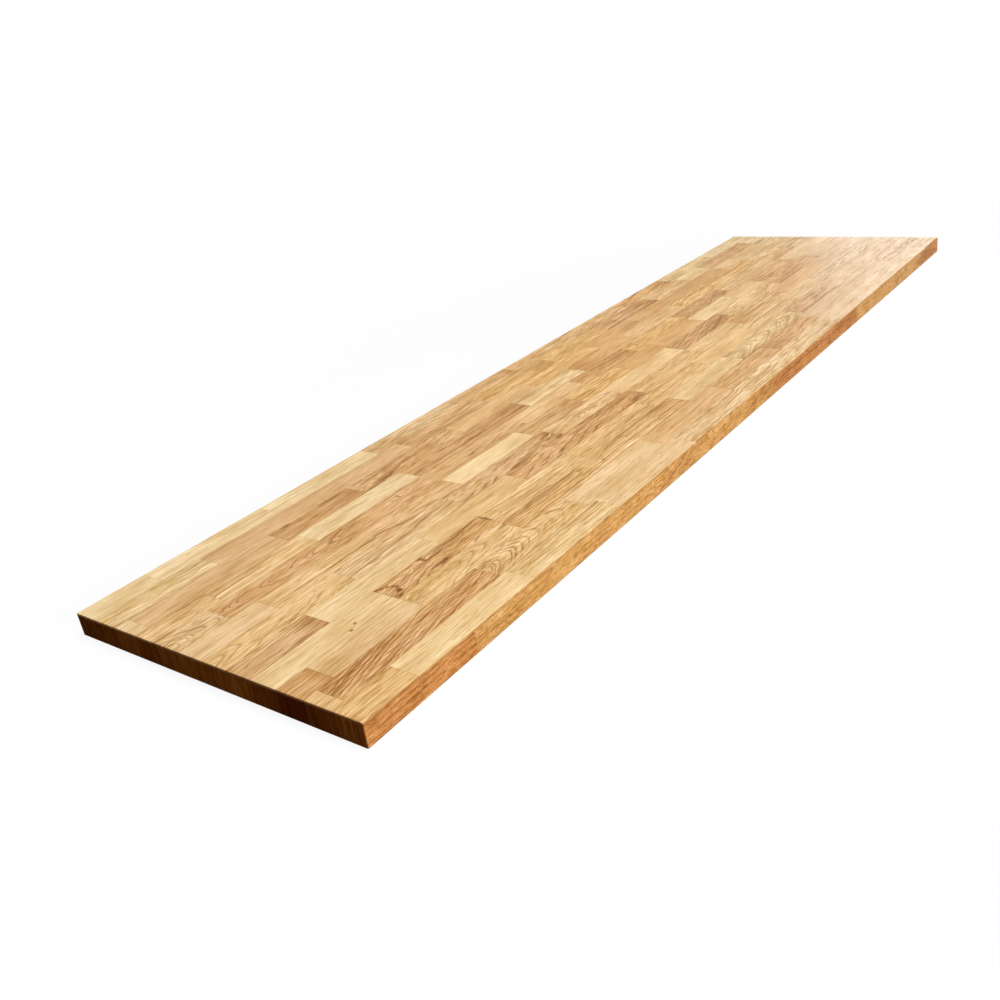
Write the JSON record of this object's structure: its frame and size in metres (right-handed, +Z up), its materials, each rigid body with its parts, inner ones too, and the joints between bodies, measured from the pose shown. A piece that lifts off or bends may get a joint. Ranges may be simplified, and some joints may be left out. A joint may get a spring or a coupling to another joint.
{
  "type": "veneered worktop",
  "caption": "Long rectangular worktop board, lipped all round and faced with rows of short oak staves, to lie on base units as a work surface.",
  "frame": {"origin": "on the underside, below the middle of the board", "axes": "+X along the board's length, with the pictured short end at -X; +Y across it to the back edge, with the pictured long edge at -Y; +Z up out of the face"},
  "size_m": [2.4, 0.62, 0.04],
  "materials": {
    "face_oak": "satin oiled oak",
    "edging_oak": "satin oiled oak",
    "end_oak": "satin oiled oak, end grain",
    "particleboard": "raw pressed particles",
    "backing_veneer": "sanded balancing veneer"
  },
  "bodies": {
    "root": {"core_board": "particleboard", "backing_sheet": "backing_veneer", "stave_row_01_odd": "face_oak", "stave_row_01_even": "face_oak", "stave_row_02_odd": "face_oak", "stave_row_02_even": "face_oak", "stave_row_03_odd": "face_oak", "stave_row_03_even": "face_oak", "stave_row_04_odd": "face_oak", "stave_row_04_even": "face_oak", "stave_row_05_odd": "face_oak", "stave_row_05_even": "face_oak", "stave_row_06_odd": "face_oak", "stave_row_06_even": "face_oak", "stave_row_07_odd": "face_oak", "stave_row_07_even": "face_oak", "stave_row_08_odd": "face_oak", "stave_row_08_even": "face_oak", "stave_row_09_odd": "face_oak", "stave_row_09_even": "face_oak", "stave_row_10_odd": "face_oak", "stave_row_10_even": "face_oak", "stave_row_11_odd": "face_oak", "stave_row_11_even": "face_oak", "stave_row_12_odd": "face_oak", "stave_row_12_even": "face_oak", "front_edging_odd": "edging_oak", "front_edging_even": "edging_oak", "back_edging_odd": "edging_oak", "back_edging_even": "edging_oak", "left_edging_odd": "end_oak", "left_edging_even": "end_oak", "right_edging_odd": "end_oak", "right_edging_even": "end_oak"}
  },
  "joints": []
}
